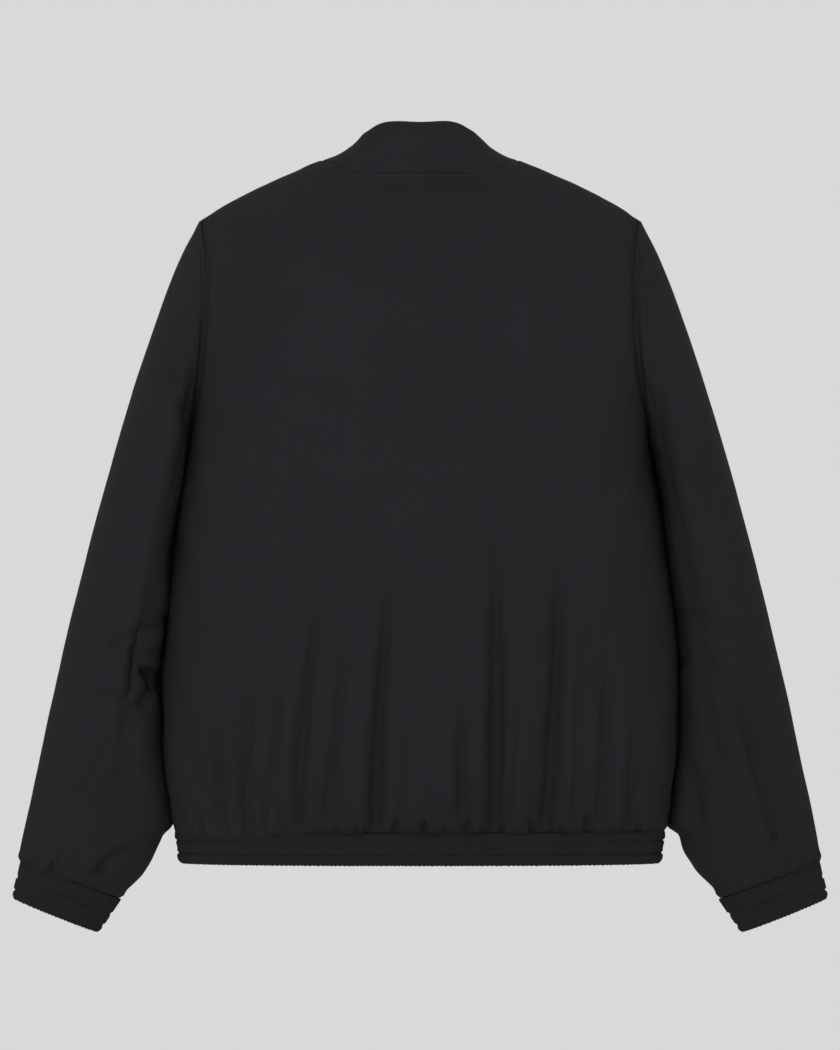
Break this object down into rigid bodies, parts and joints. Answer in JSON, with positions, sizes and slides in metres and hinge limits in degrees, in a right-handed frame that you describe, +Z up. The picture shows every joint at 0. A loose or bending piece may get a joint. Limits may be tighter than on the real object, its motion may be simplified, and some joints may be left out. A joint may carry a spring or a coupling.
{
  "type": "bomber jacket",
  "caption": "Plain filled-out bomber jacket with a stand collar, closed front zip, two-piece sleeves and gathered elastic hem and cuffs.",
  "frame": {"origin": "middle of the neck at the height of the collar's back seam, where the wearer holds the jacket up", "axes": "+Z up, -Y out of the front, +X towards the wearer's left"},
  "size_m": [0.7807, 0.259, 0.7764],
  "materials": {
    "shell": "matt black woven shell cloth with a faint sheen",
    "band": "the same cloth gathered over elastic",
    "zip_tape": "black woven tape",
    "zip_metal": "black coated, satin"
  },
  "bodies": {
    "jacket": {"back": "shell", "front_left": "shell", "front_right": "shell", "sleeve_left_top": "shell", "sleeve_left_under": "shell", "sleeve_right_top": "shell", "sleeve_right_under": "shell", "collar": "shell", "hem_band": "band", "cuff_left": "band", "cuff_right": "band", "zip_tape_left": "zip_tape", "zip_tape_right": "zip_tape", "zip_chain": "zip_metal", "zip_slider": "zip_metal"},
    "zip_pull": {"zip_pull": "zip_metal"}
  },
  "joints": [
    {"name": "pull_hinge", "type": "hinge", "parent": "jacket", "child": "zip_pull", "pos_m": [0, -0.08661, -0.02488], "axis": [-1, 0, 0], "range_deg": [0, 160]}
  ]
}
